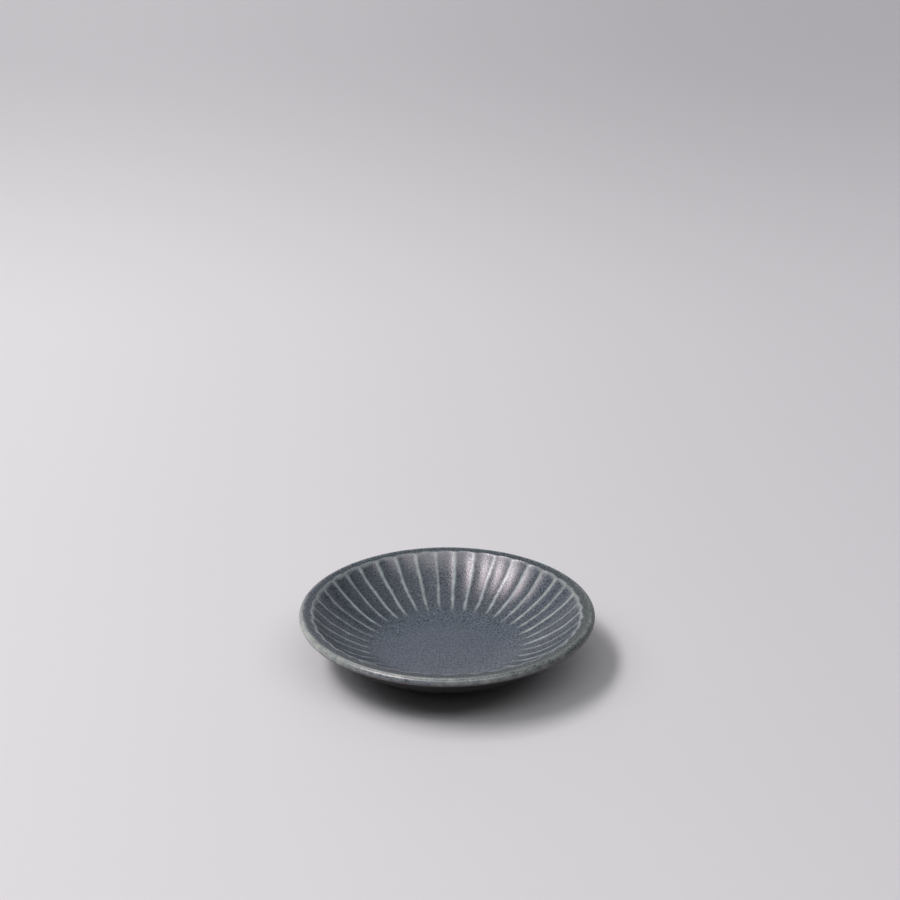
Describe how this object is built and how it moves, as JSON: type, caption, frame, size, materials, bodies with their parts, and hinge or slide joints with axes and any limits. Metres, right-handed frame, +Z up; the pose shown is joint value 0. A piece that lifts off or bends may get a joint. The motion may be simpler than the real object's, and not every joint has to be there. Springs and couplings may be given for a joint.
{
  "type": "soy sauce dish",
  "caption": "Small round stoneware dipping dish with a fluted inside wall, a rounded lip and a low foot ring, under a matt slate-blue glaze, to hold soy sauce at table.",
  "frame": {"origin": "middle of the foot ring's tread, on the table", "axes": "+Z up along the dish's axis. The dish is round, so X and Y are free: the picture looks along +Y"},
  "size_m": [0.095, 0.095, 0.019],
  "materials": {
    "stoneware": "fired stoneware clay under the glaze",
    "bare_foot": "bare fired stoneware, wiped clean of glaze",
    "inside_glaze": "semi-matt slate-blue glaze that breaks pale on edges",
    "outside_glaze": "semi-matt slate-blue glaze",
    "foot_well_glaze": "semi-matt slate-blue glaze"
  },
  "bodies": {
    "root": {"clay_body": "stoneware", "foot_ring": "bare_foot", "inside_glaze": "inside_glaze", "outside_glaze": "outside_glaze", "foot_well_glaze": "foot_well_glaze"}
  },
  "joints": []
}
